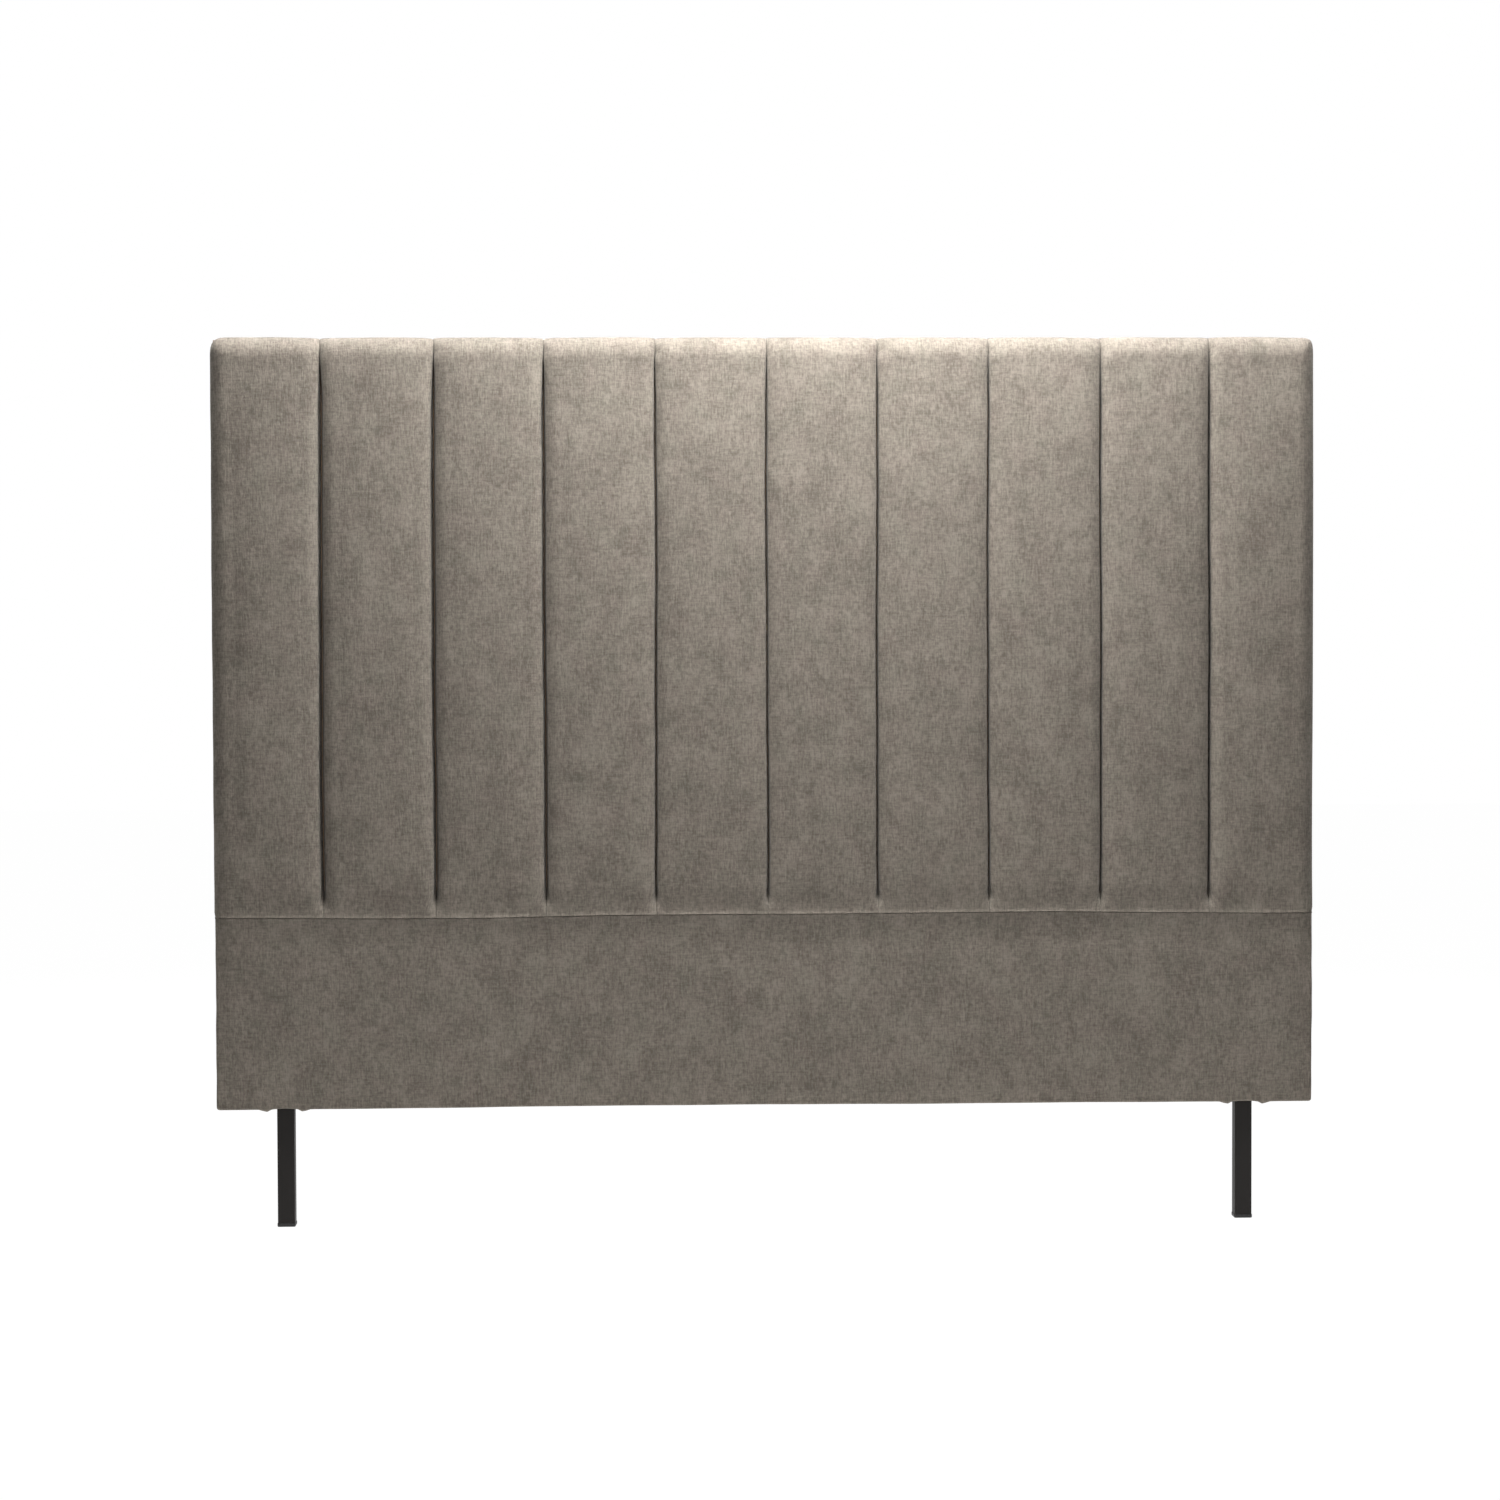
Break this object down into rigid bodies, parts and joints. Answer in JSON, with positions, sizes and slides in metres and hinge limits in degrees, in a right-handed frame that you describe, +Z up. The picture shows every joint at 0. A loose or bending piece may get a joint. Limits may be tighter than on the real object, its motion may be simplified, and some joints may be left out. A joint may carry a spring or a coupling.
{
  "type": "headboard",
  "caption": "Upholstered double-bed headboard with vertical padded channels over a plain band, on two square black steel legs, with its timber frame inside.",
  "frame": {"origin": "on the floor, under the middle of the panel's width and depth", "axes": "+Z up, +X along the width to the right as seen from the front, -Y out of the padded face towards the bed"},
  "size_m": [1.6, 0.0982, 1.29],
  "materials": {
    "cover": "matte",
    "foam": "matte",
    "wadding": "matte",
    "timber": "matte",
    "board": "matte",
    "dust_cloth": "matte",
    "leg": "matte",
    "foot_cap": "matte",
    "fixing": "satin",
    "screw": "satin",
    "staple": "satin"
  },
  "bodies": {
    "root": {"back_staples": "staple", "board_screws": "screw", "bottom_rail": "timber", "dust_cloth": "dust_cloth", "edge_wadding_left": "wadding", "edge_wadding_right": "wadding", "edge_wadding_top": "wadding", "fabric_channel_01": "cover", "fabric_channel_02": "cover", "fabric_channel_03": "cover", "fabric_channel_04": "cover", "fabric_channel_05": "cover", "fabric_channel_06": "cover", "fabric_channel_07": "cover", "fabric_channel_08": "cover", "fabric_channel_09": "cover", "fabric_channel_10": "cover", "foam_channel_01": "foam", "foam_channel_02": "foam", "foam_channel_03": "foam", "foam_channel_04": "foam", "foam_channel_05": "foam", "foam_channel_06": "foam", "foam_channel_07": "foam", "foam_channel_08": "foam", "foam_channel_09": "foam", "foam_channel_10": "foam", "foot_cap_left": "foot_cap", "foot_cap_right": "foot_cap", "frame_screws": "screw", "leg_block_left": "timber", "leg_block_right": "timber", "leg_bolts": "fixing", "leg_left": "leg", "leg_right": "leg", "leg_rivet_nuts": "fixing", "leg_washers": "fixing", "lower_board": "board", "lower_fabric": "cover", "lower_foam": "foam", "lower_upright_left": "timber", "lower_upright_right": "timber", "seam_rail": "timber", "stile_left": "timber", "stile_right": "timber", "top_rail": "timber", "upper_board": "board", "upper_upright_centre": "timber", "upper_upright_left": "timber", "upper_upright_right": "timber"}
  },
  "joints": []
}
